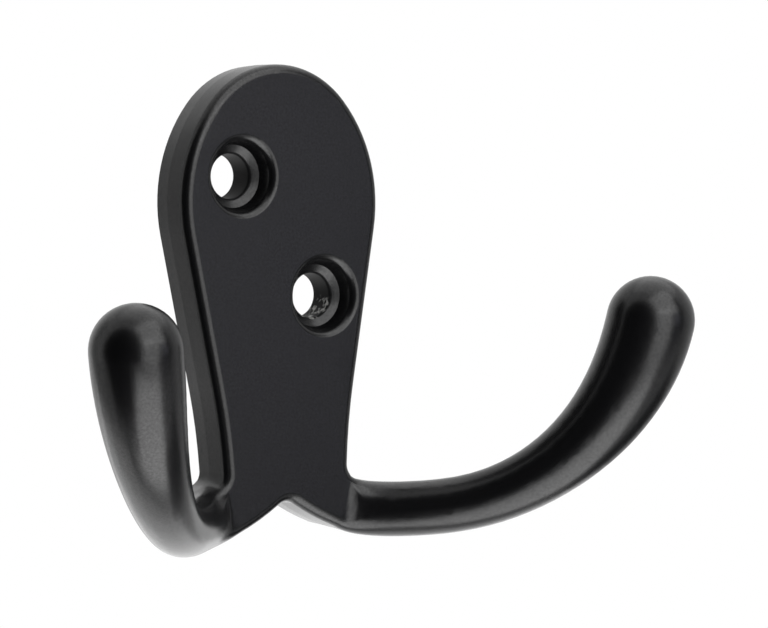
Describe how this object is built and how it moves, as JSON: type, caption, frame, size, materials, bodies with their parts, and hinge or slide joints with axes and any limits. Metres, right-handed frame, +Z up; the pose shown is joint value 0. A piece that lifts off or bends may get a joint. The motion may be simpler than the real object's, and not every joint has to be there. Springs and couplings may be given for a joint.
{
  "type": "double robe hook",
  "caption": "Cast double robe hook: pear-shaped wall plate with countersunk screw holes set on a slant, and round prongs that splay, dip and turn up into thick round ends.",
  "frame": {"origin": "on the wall plane, midway between the two screw holes", "axes": "+Z up the wall, -Y out of the wall towards the room, +X to the right of someone who faces the wall"},
  "size_m": [0.0782, 0.0328, 0.0535],
  "materials": {
    "black_coating": "satin black coating, baked on a zinc die casting"
  },
  "bodies": {
    "root": {"robe_hook": "black_coating"}
  },
  "joints": []
}
